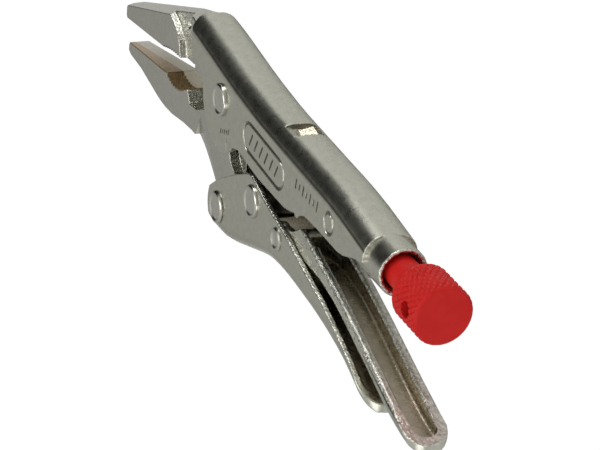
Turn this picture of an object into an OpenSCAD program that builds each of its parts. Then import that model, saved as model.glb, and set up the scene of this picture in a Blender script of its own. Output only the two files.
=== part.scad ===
// Long-nose locking pliers with an over-centre toggle, a screw adjuster and a release lever.
// Frame: origin on the main pivot axis, at the plane the tool rests on when it lies on its side.
// +X runs back to the adjusting knob, +Y towards the upper handle, +Z across the tool.

/* [Pivots] */
// Height of the middle plane above the rest plane
mid_h = 8.8; // [8.4:0.1:9.4]
// Jaw to lower handle pivot, along X
pivot_b_x = 3.4; // [2:0.1:5]
// Jaw to lower handle pivot, below the main pivot
pivot_b_drop = 32.2; // [31:0.1:34]
// Toggle pivot, along X
pivot_c_x = 29.2; // [28:0.1:30]
// Toggle pivot, below the main pivot
pivot_c_drop = 18.8; // [18.2:0.1:19.4]
// Release lever pivot, along X
pivot_e_x = 48.5; // [47.5:0.1:49.5]
// Release lever pivot, below the main pivot
pivot_e_drop = 21.5; // [21:0.1:22]
// Screw axis, below the main pivot
screw_drop = 1.8; // [1.4:0.1:2.2]
// Where the rear end of the toggle link meets the screw line
toggle_end_x = 68; // [67:0.5:69]

/* [Upper handle] */
// Width over the cheeks
handle_w = 15.4; // [15:0.1:15.8]
// Sheet thickness of the pressed channel
handle_t = 1.8; // [1.5:0.1:1.9]
// Radius that rolls the cheeks over into the back
crown_r = 6.0; // [5:0.1:6.6]
// Outside radius of the nut collar at the rear
collar_r = 7.2; // [7:0.1:7.5]
// Rear end of the nut collar
collar_end_x = 113; // [112:0.5:114]
// Width of the spring anchor notch in the back
notch_w = 8.4; // [6:0.2:9]

/* [Jaws] */
// Tip of the fixed jaw, forward of the main pivot
nose_l = 98; // [94:0.5:100]
// Jaw width at the tip
nose_tip_w = 6.4; // [5:0.2:8]
// Jaw width at the serrated recess
nose_root_w = 10.4; // [9:0.2:11]
// Width of the jaw tangs between the cheeks
tang_w = 11.1; // [10.6:0.1:11.2]
// Pitch of the recess serrations
tooth_pitch = 1.5; // [1.2:0.1:2]
// Depth of the recess serrations
tooth_depth = 0.55; // [0.3:0.05:0.8]
// Depth of the serrated recesses
recess_depth = 1.8; // [1:0.1:2.2]

/* [Lower handle] */
// Width over the lower cheeks
lower_w = 15.8; // [15.6:0.1:16]
// Sheet thickness of the lower channel
lower_t = 1.6; // [1.4:0.1:1.7]
// Radius between the cheeks and the web
lower_crown_r = 5.0; // [4:0.1:5.6]

/* [Release lever and link] */
// Width over the release lever
lever_w = 11.9; // [11.4:0.1:12]
// Sheet thickness of the release lever
lever_t = 1.4; // [1.2:0.1:1.6]
// Rear end of the release lever
lever_end_x = 139.5; // [138:0.5:140]
// Width of the toggle link across the tool
link_w = 8.4; // [7:0.1:8.6]
// Depth of the toggle link in its plane
link_d = 7; // [6:0.2:7.2]
// Gap left at the link's rear end, where the linkage is opened
link_gap = 2.0; // [1.8:0.1:2.4]

/* [Screw and knob] */
// Outside diameter of the adjusting screw
screw_d = 8.0; // [7.6:0.1:8.4]
// Running clearance on the screw's radius
screw_play = 0.05; // [0.02:0.01:0.08]
// Knob diameter
knob_d = 16.3; // [16:0.1:16.8]
// Rear face of the knob
knob_end_x = 136.7; // [136:0.1:138]
// Knob neck diameter
neck_d = 9.2; // [9.0:0.1:10]
// Diameter of the collar's mouth round the neck
mouth_d = 11.4; // [10.8:0.1:12]
// Diameter of the tommy bar hole
tommy_d = 4.5; // [3.5:0.1:5]
// Tommy bar hole, forward of the rear face
tommy_in = 5.4; // [5:0.1:6.5]

/* [Spring and rivets] */
// Outside diameter of the tension spring
spring_d = 5.6; // [5:0.1:6]
// Spring wire diameter
wire_d = 1.1; // [0.9:0.1:1.2]
// Shank diameter of the large rivets
rivet_d = 6.0; // [5.5:0.1:6.5]
// Head diameter of the large rivets
head_d = 9.8; // [9:0.1:10.2]
// Head diameter of the release lever rivet
small_head_d = 6.9; // [6.4:0.1:7.4]
// Shank diameter of the release lever rivet
small_rivet_d = 4.0; // [3.6:0.1:4.4]
// Running clearance on a rivet's radius
rivet_play = 0.05; // [0.02:0.01:0.08]

/* [Hidden] */

pa = [0, 0];
pb = [pivot_b_x, -pivot_b_drop];
pc = [pivot_c_x, -pivot_c_drop];
pe = [pivot_e_x, -pivot_e_drop];
pd = [toggle_end_x, -screw_drop];

// Ends of the spring: the jaw's eye and the notch in the back.
eye = [7.4, -12.6];
anchor = [43.2, 4.0];
spring_a = atan2(anchor[1] - eye[1], anchor[0] - eye[0]);

steel = [0.62, 0.62, 0.58];
forged = [0.55, 0.55, 0.51];
bright = [0.72, 0.71, 0.67];
dark_steel = [0.30, 0.29, 0.27];
red = [0.68, 0.12, 0.11];

crown_n = 8;
crown_step = 90 / crown_n;
hw = handle_w / 2;
lhw = lower_w / 2;
rhw = lever_w / 2;
thw = tang_w / 2;
knob_r = knob_d / 2;
head_top = mid_h;
nose_x = -nose_l;

// Outer crown line of each channel: [x, height of the crown].
upper_crown = [[-50, 17.4], [-32, 15.5], [-8, 13.3], [13, 10.9], [36, 8.8], [62, 8.1],
    [88, 7.5], [97, 6.9], [110, 5.6]];
lower_crown = [[8, 40.2], [14, 39.2], [29, 35.0], [41, 31.6], [52, 30.4], [66, 30.7],
    [81, 32.0], [96, 34.8], [106, 38.4], [120, 44.6]];
lever_crown = [[40, 27.4], [50, 26.8], [60, 25.0], [72, 23.4], [85, 25.1], [95, 27.9],
    [105, 31.2], [115, 34.4], [125, 37.4], [132, 39.3], [145, 42.6]];

// Straight grip lines of the two jaws.
function fixed_grip(x) = -11.3 + 0.138 * (x + 97.5);
function moving_grip(x) = -18.4 + 0.13 * (x + 95);

// Height of a shallow arc that starts and ends at nothing, for u from 0 to 1.
function bow(u) = 4 * u * (1 - u);

// Points around a circle of radius r about c, from angle a0 to a1.
function arc(c, r, a0, a1, n) = [for (i = [0:n]) let (a = a0 + (a1 - a0) * i / n)
    [c[0] + r * cos(a), c[1] + r * sin(a)]];

// One ring of a channel: open edge at yb, crown at yt.
function ring(x, yb, yt, w, r) = concat(
    [[x, yb, -w]],
    [for (i = [0:crown_n]) let (a = crown_step * i)
        [x, yt - r + r * sin(a), r - w - r * cos(a)]],
    [for (i = [0:crown_n]) let (a = 90 - crown_step * i)
        [x, yt - r + r * sin(a), w - r + r * cos(a)]],
    [[x, yb, w]]);

// Everything is modelled about the middle plane and lifted onto the rest plane.
module lay() {
    translate([0, 0, mid_h]) children();
}

// Skins a row of rings into one closed body.
module loft(rings) {
    m = len(rings[0]);
    n = len(rings);
    polyhedron(
        points = [for (q = rings) each q],
        faces = concat(
            [[for (j = [0:m - 1]) j]],
            [[for (j = [m - 1:-1:0]) (n - 1) * m + j]],
            [for (k = [0:n - 2]) for (j = [0:m - 1])
                [k * m + j, (k + 1) * m + j, (k + 1) * m + (j + 1) % m, k * m + (j + 1) % m]]),
        convexity = 6);
}

// A channel body whose crown follows a line, shrunk by t all round the crown.
module crowned(line, base, w, r, t) {
    loft([for (s = line) ring(s[0], base, s[1] - t, w - t, r - t)]);
}

// A round bar across the tool, centred on the middle plane.
module across(c, d, l) {
    translate([c[0], c[1], 0]) cylinder(d = d, h = l, center = true, $fn = 64);
}

// A round bar along the screw axis from x0 to x1.
module along(d, x0, x1) {
    translate([x0, -screw_drop, 0])
        rotate([0, 90, 0])
            cylinder(d = d, h = x1 - x0, $fn = 72);
}

// A flat profile given the width w across the tool.
module slab(points, w) {
    translate([0, 0, -w / 2]) linear_extrude(w) polygon(points);
}

// Side profile of the upper handle's cheeks and back.
module upper_outline() {
    slab(concat(
        [[110, -2.4], [110, 12], [60, 14], [-20, 22], [-38.6, 22], [-35.6, 13.4], [-33, 12.6],
            [-28, 11.8], [-26.4, 10.2], [-25.4, 4.2], [-24.2, 3.2], [-19.8, 3.6], [-16.6, 1.6]],
        arc(pa, 15.3, 183, 318, 24),
        [[15.6, -9.2], [20, -9.6], [26, -10.4], [32, -10.8], [51, -10.7], [56, -9.8],
            [58.2, -9.1]],
        arc([60.0, -8.2], 1.5, 215, 345, 6),
        [[65.5, -6.9], [76, -6.5], [88, -6.6], [92, -6.0], [96, -4.6], [100, -3.2], [104, -2.4]]),
        30);
}

// Slot lanced across the back, with its tongue pressed in to hold the spring.
module spring_notch() {
    translate([40, 2, -notch_w / 2]) cube([7.4, 12, notch_w]);
}

module spring_tongue() {
    translate([39.6, 6.9, -notch_w / 2 + 0.3])
        rotate([0, 0, -24])
            cube([6.2, 1.5, notch_w - 0.6]);
}

module upper_shell() {
    intersection() {
        difference() {
            crowned(upper_crown, -30, hw, crown_r, 0);
            crowned(upper_crown, -31, hw, crown_r, handle_t);
            spring_notch();
        }
        upper_outline();
        translate([-60, -40, -10]) cube([164.4, 80, 20]);
    }
}

module nut_collar() {
    difference() {
        union() {
            along(2 * collar_r, 86, collar_end_x);
            along(2 * collar_r + 0.4, 86, 103.6);
        }
        translate([103.6, -screw_drop, 0])
            rotate([0, 90, 0])
                difference() {
                    cylinder(r = 9, h = 0.8, $fn = 72);
                    cylinder(r1 = collar_r + 0.2, r2 = collar_r, h = 0.8, $fn = 72);
                }
    }
}

module upper_handle() {
    color(steel) lay()
        difference() {
            union() {
                upper_shell();
                nut_collar();
                spring_tongue();
            }
            across(pa, rivet_d, 40);
            along(screw_d + 2 * screw_play, 80, collar_end_x + 1);
            along(mouth_d, 103, collar_end_x + 1);
        }
}

// Plan view of a jaw: narrow at the tip, full width from the recess back.
module jaw_plan(tip, root, y0, y1, t) {
    translate([0, y1, 0])
        rotate([90, 0, 0])
            linear_extrude(y1 - y0)
                polygon([[tip, -nose_tip_w / 2 + 0.9], [tip + 0.9, -nose_tip_w / 2],
                    [-56, -nose_root_w / 2], [root, -nose_root_w / 2], [root + 6, -t],
                    [30, -t], [30, t], [root + 6, t], [root, nose_root_w / 2],
                    [-56, nose_root_w / 2], [tip + 0.9, nose_tip_w / 2],
                    [tip, nose_tip_w / 2 - 0.9]]);
}

// Serrated recess from x0 to x1 below or above a grip line; s is its direction.
function recess(x0, x1, y0, y1, s) = [
    for (i = [0:floor((x1 - x0) / tooth_pitch) * 2])
        let (n = floor((x1 - x0) / tooth_pitch) * 2, u = i / n)
            [x0 + (x1 - x0) * u,
                y0 + (y1 - y0) * u + s * (recess_depth * bow(u) + (i % 2) * tooth_depth)]];

module fixed_profile() {
    slab(concat(
        [[nose_x, -8.6], [nose_x, -10.4], [nose_x + 0.9, -11.3], [-60, fixed_grip(-60)]],
        recess(-59.4, -42, fixed_grip(-59.4), -3.4, 1),
        [[-40, -2.6], [-30, -1.8], [-20, -2.2], [-12, -3.2]],
        arc(pa, 10.2, 196, 124, 12),
        [[-4.8, 10.4], [-8, 11.0], [-30, 13.0], [-38.4, 13.0], [-52, 8.9],
            [-61, 6.2], [-78, 0.4], [-92, -5.2], [-96.4, -7.4]]), 20);
}

// Long bevel along the top edge of the fixed jaw.
module top_bevel() {
    for (s = [-1, 1])
        translate([-68, 4.0, s * 4.5])
            rotate([0, 0, 19.4])
                rotate([s * 45, 0, 0])
                    translate([-38, 1.9, -9])
                        cube([76, 9, 18]);
}

// Relief behind the gripping part, down to a narrow neck.
module jaw_relief() {
    for (s = [-1, 1])
        translate([0, 0, s * 7.1])
            slab([[-54, 6.2], [-49.4, 5.0], [-46.2, 3.0], [-43.8, 0.4], [-42, -3.8], [-27.5, -4.5],
                [-27.5, 11.6], [-40, 11.6]], 8.0);
}

module fixed_jaw() {
    color(forged) lay()
        difference() {
            intersection() {
                fixed_profile();
                jaw_plan(nose_x, -34, -20, 20, hw - handle_t);
                crowned(concat([[-110, 24]], upper_crown), -40, hw, crown_r, handle_t);
            }
            top_bevel();
            jaw_relief();
            translate([-41.2, 7.2, 3.1]) sphere(r = 1.3, $fn = 32);
        }
}

module moving_profile() {
    slab(concat(
        [[-95, -21.6], [-95, -19.4], [-94.2, -18.4], [-56, moving_grip(-56)]],
        recess(-55, -35, moving_grip(-55), -10.9, -1),
        [[-34.2, -11], [-31.6, -14.2], [-25, -13.6], [-18, -10.4]],
        arc(pa, 9.8, 222, -38, 26),
        [[10.2, -9.5], [9.8, -13], [10.2, -18], [10.8, -24], [11.0, -29]],
        arc(pb, 7.6, 10, -150, 18),
        [[-7.2, -33.0], [-10.3, -30.2], [-13.4, -27.6], [-16.4, -25.6], [-19.4, -23.9],
            [-24, -22.6], [-28.4, -22.4], [-36, -22.9], [-46, -24.4], [-52, -24.6], [-61, -24.2],
            [-79, -22.6], [-92.4, -22.6]]), 20);
}

// Chamfer round the boss, which clears the rolled corners of the upper channel.
module boss_relief() {
    for (s = [0, 180])
        rotate([0, s, 0])
            intersection() {
                rotate_extrude($fn = 96)
                    polygon([[10.6, 2.6], [10.6, 7], [6.0, 7], [7.2, 5.6]]);
                translate([-12, 1.5, 0]) cube([24, 12, 8]);
            }
}

// Long bevel down the front of the moving jaw's tang, on one side.
module tang_bevel() {
    translate([-10.6, -20.3, thw])
        rotate([0, 0, -30.8])
            rotate([13, 0, 0])
                translate([-11, -16, 0]) cube([22, 16, 6]);
}

module moving_jaw() {
    color(forged) lay()
        difference() {
            intersection() {
                moving_profile();
                jaw_plan(-95, -26, -60, 20, thw);
            }
            across(pa, rivet_d + 2 * rivet_play, 40);
            across(pb, rivet_d, 40);
            across(eye, 2.4, 40);
            boss_relief();
            tang_bevel();
            mirror([0, 0, 1]) tang_bevel();
            translate([eye[0], eye[1], 0])
                rotate([0, 0, spring_a])
                    translate([0, -1, -1]) cube([8, 2, 2]);
            for (s = [-1, 1])
                translate([0, 0, s * 6])
                    slab([[12, -9], [7.0, -9], [6.0, -16], [6.6, -24], [12, -24]], 7);
        }
}

// Solid rivet with two flat heads. grip is the distance between the head seats.
module rivet(c, shank, head, grip, top) {
    across(c, shank, grip + 0.2);
    for (s = [0, 180])
        translate([c[0], c[1], 0])
            rotate([s, 0, 0])
                translate([0, 0, grip / 2])
                    cylinder(d1 = head, d2 = head - 0.9, h = top - grip / 2, $fn = 64);
}

module main_rivet() {
    color(bright) lay() rivet(pa, rivet_d, head_d, handle_w, head_top);
}

module jaw_rivet() {
    color(bright) lay() rivet(pb, rivet_d, head_d, lower_w + 0.2, head_top);
}

module toggle_rivet() {
    color(bright) lay() rivet(pc, rivet_d, head_d, lower_w, head_top);
}

module release_rivet() {
    color(bright) lay() rivet(pe, small_rivet_d, small_head_d, lower_w, head_top - 0.25);
}

// Plan view of a channel with a round rear end at x1.
module round_end(x0, x1, w) {
    rotate([90, 0, 0])
        translate([0, 0, -10]) {
            translate([x0, -w / 2, 0]) cube([x1 - w / 2 - x0, w, 80]);
            translate([x1 - w / 2, 0, 0]) cylinder(d = w, h = 80, $fn = 72);
        }
}

module lower_outline() {
    slab(concat(
        arc(pb, 8.6, 300, 158, 18),
        [[-4.4, -28.6], [-0.4, -25.6], [4, -22.6], [10, -19.4], [16, -16.2], [23, -12.9],
            [25.6, -11.8], [27.6, -11.8], [32, -12.9], [38, -14.7], [44, -15.9], [50, -17],
            [56, -18.1], [62, -19.8], [74, -22.8], [81, -24.3], [89, -26.8], [96, -29.2],
            [103, -31.8], [107, -34], [110.4, -37], [114.5, -39.8], [116, -60], [8, -60],
            [8, -39.6]]), 30);
}

module lower_handle() {
    color(steel) lay()
        difference() {
            intersection() {
                mirror([0, 1, 0]) crowned(concat([[-12, 40.9]], lower_crown), -6, lhw,
                    lower_crown_r, 0);
                lower_outline();
                round_end(-20, 113.6, lower_w);
            }
            intersection() {
                mirror([0, 1, 0]) crowned(lower_crown, -7, lhw, lower_crown_r, lower_t);
                round_end(-20, 113.6 - lower_t, lower_w - 2 * lower_t);
            }
            translate([-20, -60, -lhw + lower_t]) cube([34, 60, lower_w - 2 * lower_t]);
            across(pb, rivet_d + 2 * rivet_play, 40);
            across(pc, rivet_d, 40);
            across(pe, small_rivet_d, 40);
        }
}

module toggle_link() {
    l = norm(pd - pc);
    a = atan2(pd[1] - pc[1], pd[0] - pc[0]);
    color(dark_steel) lay()
        translate([pc[0], pc[1], 0])
            rotate([0, 0, a])
                difference() {
                    union() {
                        cylinder(r = 5.4, h = link_w, center = true, $fn = 64);
                        translate([0, -link_d / 2, -link_w / 2]) cube([l, link_d, link_w]);
                        translate([l, 0, 0])
                            cylinder(d = link_d, h = link_w, center = true, $fn = 64);
                    }
                    cylinder(d = rivet_d + 2 * rivet_play, h = 40, center = true, $fn = 64);
                }
}

module lever_outline() {
    slab(concat(
        [[lever_end_x + 4, -37.2], [132, -34.7], [125, -32.4], [115, -29.3], [105, -26.1],
            [95, -22.8], [85, -19.8], [74, -16.6], [63, -13.5], [60.6, -13.0], [59.0, -13.8],
            [55, -16.2]],
        arc(pe, 4.8, 70, 118, 5),
        [[43.2, -18.5], [40.8, -19.6], [40.2, -21.4], [41.2, -23.4], [44.0, -25.8],
            [50, -28], [60, -40], [lever_end_x + 4, -60]]), 30);
}

module release_lever() {
    color(steel) lay()
        difference() {
            intersection() {
                mirror([0, 1, 0]) crowned(lever_crown, -6, rhw, 4.0, 0);
                lever_outline();
                round_end(30, lever_end_x, lever_w);
            }
            intersection() {
                mirror([0, 1, 0]) crowned(lever_crown, -7, rhw, 4.0, lever_t);
                round_end(30, lever_end_x - lever_t, lever_w - 2 * lever_t);
            }
            translate([30, -60, -rhw + lever_t]) cube([27, 60, lever_w - 2 * lever_t]);
            across(pe, small_rivet_d + 2 * rivet_play, 40);
        }
}

module screw_shaft() {
    tip_x = toggle_end_x + link_d / 2 + link_gap;
    color(bright) lay() {
        along(screw_d, tip_x + 1.6, knob_end_x - tommy_in - tommy_d / 2 - 2);
        translate([tip_x, -screw_drop, 0])
            rotate([0, 90, 0])
                cylinder(d1 = screw_d - 3.2, d2 = screw_d, h = 1.6, $fn = 72);
    }
}

module adjusting_knob() {
    bore_end = knob_end_x - tommy_in - tommy_d / 2 - 1.8;
    color(red) lay()
        difference() {
            translate([0, -screw_drop, 0])
                rotate([0, 90, 0])
                    rotate_extrude($fn = 96)
                        polygon([[0, 110.4], [neck_d / 2 - 0.4, 110.4], [neck_d / 2, 110.8],
                            [neck_d / 2, 119.4], [knob_r - 1.2, 122.2], [knob_r, 123.6],
                            [knob_r, knob_end_x - 1.3], [knob_r - 1.3, knob_end_x],
                            [0, knob_end_x]]);
            along(screw_d + 2 * screw_play, 100, bore_end);
            across([knob_end_x - tommy_in, -screw_drop], tommy_d, 40);
        }
}

// Tension spring between the moving jaw's eye and the notch in the back.
module tension_spring() {
    l = norm(anchor - eye);
    color(dark_steel) lay()
        translate([eye[0], eye[1], 0])
            rotate([0, 0, spring_a])
                rotate([0, 90, 0]) {
                    translate([0, 0, 9]) cylinder(d = spring_d, h = l - 17, $fn = 48);
                    cylinder(d = wire_d, h = 9.2, $fn = 24);
                    translate([0, 0, l - 8.2]) cylinder(d = wire_d, h = 8.2, $fn = 24);
                }
}

upper_handle();
fixed_jaw();
main_rivet();
moving_jaw();
jaw_rivet();
lower_handle();
toggle_rivet();
release_rivet();
toggle_link();
release_lever();
screw_shaft();
adjusting_knob();
tension_spring();
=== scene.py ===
"""Long-nose locking pliers: the finished pieces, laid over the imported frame.

Lengths in the classes are millimetres about the tool's middle plane. Each piece is
turned into metres and lifted onto the rest plane when it is placed.
"""

import logging
import math
from dataclasses import dataclass, field
from enum import Enum
from typing import Callable, Optional, Sequence

import bmesh
import bpy
from mathutils import Matrix, Vector


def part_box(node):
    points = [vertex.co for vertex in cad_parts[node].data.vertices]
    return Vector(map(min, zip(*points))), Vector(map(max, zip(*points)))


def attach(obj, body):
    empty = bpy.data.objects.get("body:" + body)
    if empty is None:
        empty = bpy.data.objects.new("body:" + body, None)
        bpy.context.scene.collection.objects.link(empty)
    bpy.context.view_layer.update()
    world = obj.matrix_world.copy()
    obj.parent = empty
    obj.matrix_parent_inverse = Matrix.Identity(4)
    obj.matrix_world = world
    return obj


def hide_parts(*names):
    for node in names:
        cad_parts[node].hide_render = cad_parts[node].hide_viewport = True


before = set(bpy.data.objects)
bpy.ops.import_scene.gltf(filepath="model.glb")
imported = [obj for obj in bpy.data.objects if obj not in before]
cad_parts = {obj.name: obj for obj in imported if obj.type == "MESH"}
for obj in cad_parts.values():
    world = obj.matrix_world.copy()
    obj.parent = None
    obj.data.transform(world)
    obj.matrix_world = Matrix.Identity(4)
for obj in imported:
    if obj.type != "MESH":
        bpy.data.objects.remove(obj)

LOG = logging.getLogger("locking_pliers")

MM = 0.001
SHORTEST_EDGE = 0.6
ROLL_FACETS = 12
Point = tuple[float, float]
Colour = tuple[float, float, float]
Mesh = bmesh.types.BMesh

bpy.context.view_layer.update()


def centre_of(node: str) -> Vector:
    """Centre of a node's box, in millimetres.

    Args:
        node: Name of the CAD node.

    Returns:
        The centre as a vector.
    """
    low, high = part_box(node)
    return (Vector(low) + Vector(high)) / (2 * MM)


MID = centre_of("main_rivet").z
MAIN = centre_of("main_rivet")
JAW_PIN = centre_of("jaw_rivet")
LINK_PIN = centre_of("toggle_rivet")
LEVER_PIN = centre_of("release_rivet")
SCREW_Y = centre_of("adjusting_knob").y


class Body(Enum):
    """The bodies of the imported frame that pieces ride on."""

    UPPER = "upper"
    JAW = "jaw"
    LOWER = "lower"
    LINK = "link"
    LEVER = "lever"
    SCREW = "screw"
    KNOB = "knob"


class Slot(Enum):
    """The record's material slots."""

    PLATED = "plated_steel"
    FORGED = "forged_steel"
    RIVET = "rivet_steel"
    DARK = "dark_steel"
    SCREW = "screw_steel"
    RED = "red_coat"


# ---------------------------------------------------------------- bench tools


def arc(centre: Sequence[float], radius: float, start: float, end: float, steps: int) -> list[Point]:
    """Points on a circular arc.

    Args:
        centre: Centre of the arc.
        radius: Radius of the arc.
        start: First angle in degrees.
        end: Last angle in degrees.
        steps: Number of segments.

    Returns:
        The points, ends included.
    """
    turn = [math.radians(start + (end - start) * i / steps) for i in range(steps + 1)]
    return [(centre[0] + radius * math.cos(a), centre[1] + radius * math.sin(a)) for a in turn]


def smooth_line(knots: Sequence[Point]) -> Callable[[float], float]:
    """A smooth height line through a few knots.

    Args:
        knots: Points in order of their first value.

    Returns:
        A function from the first value to the height.
    """

    def slope(i: int) -> float:
        """Slope of the line at knot i."""
        a = knots[max(i - 1, 0)]
        b = knots[min(i + 1, len(knots) - 1)]
        return (b[1] - a[1]) / (b[0] - a[0])

    def height(x: float) -> float:
        """Height of the line at x."""
        i = 0
        while i < len(knots) - 2 and x > knots[i + 1][0]:
            i += 1
        (x0, y0), (x1, y1) = knots[i], knots[i + 1]
        span = x1 - x0
        u = min(max((x - x0) / span, 0.0), 1.0)
        m0, m1 = slope(i) * span, slope(i + 1) * span
        return (
            (2 * u**3 - 3 * u**2 + 1) * y0
            + (u**3 - 2 * u**2 + u) * m0
            + (3 * u**2 - 2 * u**3) * y1
            + (u**3 - u**2) * m1
        )

    return height


def turn(bm: Mesh, angle: float, axis: str, verts: Optional[Sequence[bmesh.types.BMVert]] = None) -> None:
    """Turns vertices about an axis through the origin.

    Args:
        bm: The mesh.
        angle: Angle in radians.
        axis: Letter of the axis.
        verts: The vertices, or None for all of them.
    """
    verts = bm.verts if verts is None else verts
    bmesh.ops.rotate(bm, verts=verts, cent=(0, 0, 0), matrix=Matrix.Rotation(angle, 3, axis))


def shift(bm: Mesh, vec: Sequence[float], verts: Optional[Sequence[bmesh.types.BMVert]] = None) -> None:
    """Moves vertices.

    Args:
        bm: The mesh.
        vec: How far.
        verts: The vertices, or None for all of them.
    """
    bmesh.ops.translate(bm, verts=bm.verts if verts is None else verts, vec=vec)


def slice_at(bm: Mesh, point: Sequence[float], normal: Sequence[float]) -> None:
    """Adds edges where a plane passes through a mesh.

    Args:
        bm: The mesh.
        point: A point of the plane.
        normal: The plane's normal.
    """
    geom = bm.verts[:] + bm.edges[:] + bm.faces[:]
    bmesh.ops.bisect_plane(bm, geom=geom, plane_co=point, plane_no=normal)


def round_over(bm: Mesh, edges: Sequence[bmesh.types.BMEdge], width: float, segments: int) -> None:
    """Rounds edges.

    Args:
        bm: The mesh.
        edges: The edges.
        width: Width of the rounding.
        segments: Facets across it.
    """
    bmesh.ops.bevel(
        bm, geom=edges, offset=width, offset_type="OFFSET", segments=segments, profile=0.5,
        affect="EDGES", clamp_overlap=False, material=-1,
    )


def slab(outline: Sequence[Point], low: float, high: float) -> Mesh:
    """A flat plate cut to an outline in the plane of the linkage.

    Args:
        outline: Corner points in order.
        low: Lower side across the tool.
        high: Upper side across the tool.

    Returns:
        The closed plate.
    """
    bm = bmesh.new()
    face = bm.faces.new([bm.verts.new((x, y, low)) for x, y in outline])
    out = bmesh.ops.extrude_face_region(bm, geom=[face])
    moved = [g for g in out["geom"] if isinstance(g, bmesh.types.BMVert)]
    shift(bm, (0, 0, high - low), moved)
    bmesh.ops.recalc_face_normals(bm, faces=bm.faces)
    return bm


def plan_slab(outline: Sequence[Point], low: float, high: float) -> Mesh:
    """A plate cut to an outline seen along the handles' depth.

    Args:
        outline: Corner points as along the tool and across it.
        low: Lowest height.
        high: Greatest height.

    Returns:
        The closed plate.
    """
    bm = slab([(x, z) for x, z in outline], low, high)
    turn(bm, math.radians(90), "X")
    bmesh.ops.scale(bm, verts=bm.verts, vec=(1, -1, 1))
    bmesh.ops.recalc_face_normals(bm, faces=bm.faces)
    return bm


def crowned_block(
    crown: Callable[[float], float],
    span: Point,
    base: float,
    half: float,
    radius: float,
    sign: float = 1.0,
    pitch: float = 4.0,
) -> Mesh:
    """A long block whose two long edges are rolled over along a crown line.

    Args:
        crown: Height of the crown along the tool.
        span: Where the block starts and ends.
        base: Height of the flat side.
        half: Half of the width.
        radius: Radius of the rolled edges.
        sign: 1 where the crown faces up, -1 where it faces down.
        pitch: Distance between the stations.

    Returns:
        The closed block.
    """
    bm = bmesh.new()
    bmesh.ops.create_cube(bm, size=1)
    length = span[1] - span[0]
    bmesh.ops.scale(bm, verts=bm.verts, vec=(length, 1, 2 * half))
    shift(bm, (span[0] + length / 2, 0, 0))
    stations = int(length / pitch)
    for i in range(1, stations):
        slice_at(bm, (span[0] + length * i / stations, 0, 0), (1, 0, 0))
    for v in bm.verts:
        v.co.y = crown(v.co.x) * sign if v.co.y > 0 else base
    bmesh.ops.recalc_face_normals(bm, faces=bm.faces)
    rolled = [
        e
        for e in bm.edges
        if all(abs(v.co.y - crown(v.co.x) * sign) < 1e-3 for v in e.verts)
        and abs(e.verts[0].co.z - e.verts[1].co.z) < 1e-6
    ]
    round_over(bm, rolled, radius, ROLL_FACETS)
    bmesh.ops.recalc_face_normals(bm, faces=bm.faces)
    return bm


def revolve(profile: Sequence[Point], steps: int, closed: bool = False) -> Mesh:
    """Turns a line once round the long axis.

    Args:
        profile: Points as distance along the axis and radius.
        steps: Segments round the turn.
        closed: True when the line's ends are joined.

    Returns:
        The turned skin.
    """
    bm = bmesh.new()
    verts = [bm.verts.new((a, r, 0)) for a, r in profile]
    pairs = list(zip(verts[:-1], verts[1:])) + [(verts[-1], verts[0])] * closed
    edges = [bm.edges.new(pair) for pair in pairs]
    bmesh.ops.spin(
        bm, geom=verts + edges, cent=(0, 0, 0), axis=(1, 0, 0), angle=2 * math.pi, steps=steps, use_merge=True
    )
    bmesh.ops.remove_doubles(bm, verts=bm.verts, dist=1e-4)
    return bm


def lathe(profile: Sequence[Point], axis: str, centre: Sequence[float], steps: int = 72) -> Mesh:
    """A turned solid.

    Args:
        profile: Points as distance along the axis and radius, ends on the axis.
        axis: "X" for along the tool, "Z" for across it.
        centre: A point on the axis.
        steps: Segments round the turn.

    Returns:
        The closed solid.
    """
    bm = revolve(profile, steps)
    if axis == "Z":
        turn(bm, math.radians(-90), "Y")
    shift(bm, centre)
    bmesh.ops.recalc_face_normals(bm, faces=bm.faces)
    return bm


def pin_tool(centre: Sequence[float], radius: float, steps: int = 48, reach: float = 9.0) -> Mesh:
    """A plain pin across the tool, to cut a hole with.

    Args:
        centre: Centre of the hole along the tool and in height.
        radius: Radius of the hole.
        steps: Segments round it.
        reach: How far it goes to each side.

    Returns:
        The closed pin.
    """
    profile = [(-reach, 0), (-reach, radius), (reach, radius), (reach, 0)]
    return lathe(profile, "Z", (centre[0], centre[1], 0), steps)


def combine(first: Mesh, second: Mesh, operation: str) -> Mesh:
    """Cuts or intersects two closed meshes.

    Args:
        first: The piece worked on.
        second: The tool, which is used up.
        operation: DIFFERENCE or INTERSECT.

    Returns:
        The result as a new mesh; both inputs are freed.
    """
    objects = []
    for bm in (first, second):
        mesh = bpy.data.meshes.new("work")
        bm.to_mesh(mesh)
        bm.free()
        obj = bpy.data.objects.new("work", mesh)
        bpy.context.scene.collection.objects.link(obj)
        objects.append(obj)
    piece, tool = objects
    mod = piece.modifiers.new("combine", "BOOLEAN")
    mod.operation = operation
    mod.solver = "EXACT"
    mod.object = tool
    graph = bpy.context.evaluated_depsgraph_get()
    result = bmesh.new()
    result.from_object(piece, graph)
    for obj in objects:
        mesh = obj.data
        bpy.data.objects.remove(obj)
        bpy.data.meshes.remove(mesh)
    bmesh.ops.remove_doubles(result, verts=result.verts, dist=2e-3)
    return result


def cut(bm: Mesh, *tools: Mesh) -> Mesh:
    """Cuts tools out of a mesh, one after the other.

    Args:
        bm: The piece.
        tools: The closed tools, which are used up.

    Returns:
        What is left.
    """
    for tool in tools:
        bm = combine(bm, tool, "DIFFERENCE")
    return bm


def trim(bm: Mesh, *tools: Mesh) -> Mesh:
    """Keeps what a mesh has in common with each tool in turn.

    Args:
        bm: The piece.
        tools: The closed tools, which are used up.

    Returns:
        What is left.
    """
    for tool in tools:
        bm = combine(bm, tool, "INTERSECT")
    return bm


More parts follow.
